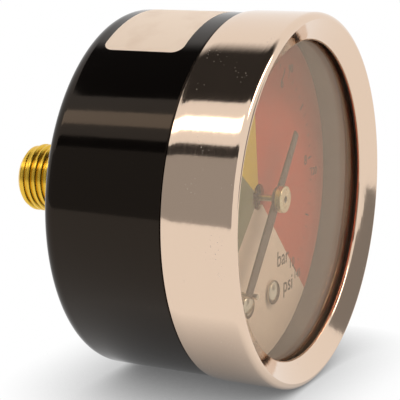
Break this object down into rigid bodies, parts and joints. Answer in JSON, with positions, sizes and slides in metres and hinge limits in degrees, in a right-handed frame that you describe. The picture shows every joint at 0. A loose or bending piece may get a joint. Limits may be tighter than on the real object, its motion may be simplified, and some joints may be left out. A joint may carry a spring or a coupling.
{
  "type": "pressure gauge",
  "caption": "Round dial pressure gauge with chromed bezel, black case and threaded centre-back connection, with its tube, gear movement and pointer as separate working pieces.",
  "frame": {"origin": "centre of the connection's end face, on the gauge's axis", "axes": "+Y along the axis, out of the connection's end; the dial faces -Y; +Z towards twelve o'clock; +X to the reader's right"},
  "size_m": [0.068, 0.0603, 0.068],
  "materials": {
    "chromed_steel": "bright chrome plate",
    "black_enamel": "gloss black stove enamel",
    "window_glass": "flat clear",
    "black_rubber": "matt",
    "dial_enamel": "printed satin white",
    "pointer_black": "satin black",
    "brass": "machined",
    "tube_bronze": "drawn spring bronze",
    "bright_steel": "bright"
  },
  "bodies": {
    "housing": {"case": "black_enamel", "bezel": "chromed_steel", "window": "window_glass", "window_gasket": "black_rubber", "case_screw_1": "bright_steel", "case_screw_2": "bright_steel", "case_screw_3": "bright_steel", "socket": "brass", "dial": "dial_enamel", "dial_screw_left": "bright_steel", "dial_screw_right": "bright_steel", "dial_post_left": "brass", "dial_post_right": "brass", "stop_pin": "bright_steel", "movement_front_plate": "brass", "movement_back_plate": "brass", "movement_pillar_left": "brass", "movement_pillar_low": "brass", "movement_screw_upper": "bright_steel", "movement_screw_lower": "bright_steel", "hairspring": "bright_steel", "hairspring_stud": "brass", "bourdon_tube": "tube_bronze"},
    "pointer_arbor": {"pointer": "pointer_black", "pointer_hub": "brass", "pinion_arbor": "bright_steel", "hairspring_collet": "brass"},
    "sector": {"sector_gear": "brass", "sector_arbor": "bright_steel", "sector_pin": "bright_steel"},
    "tube_end": {"tube_tip": "brass", "tip_pin": "bright_steel"},
    "link": {"link": "bright_steel"}
  },
  "joints": [
    {"name": "pointer_turn", "type": "hinge", "parent": "housing", "child": "pointer_arbor", "pos_m": [0, -0.045, 0], "axis": [0, 1, 0], "range_deg": [0, 277.1], "stiffness_Nm_per_rad": 0.0001, "springref_deg": -28.65, "deforming": ["hairspring"]},
    {"name": "sector_turn", "type": "hinge", "parent": "housing", "child": "sector", "pos_m": [0.0081, -0.041, -0.01403], "axis": [0, 1, 0], "range_deg": [-34.65, 0]},
    {"name": "tip_flex", "type": "hinge", "parent": "housing", "child": "tube_end", "pos_m": [-0.0059, -0.0322, 0.00257], "axis": [0, 1, 0], "range_deg": [-7.21, 0], "deforming": ["bourdon_tube"]},
    {"name": "link_swing", "type": "hinge", "parent": "tube_end", "child": "link", "pos_m": [0.02249, -0.0396, 0.00079], "axis": [0, 1, 0], "range_deg": [0, 7.21]}
  ],
  "couplings": [
    {"joint": "sector_turn", "follows": "pointer_turn", "ratio": -0.125},
    {"joint": "tip_flex", "follows": "pointer_turn", "ratio": -0.025983},
    {"joint": "link_swing", "follows": "pointer_turn", "ratio": 0.025983}
  ]
}
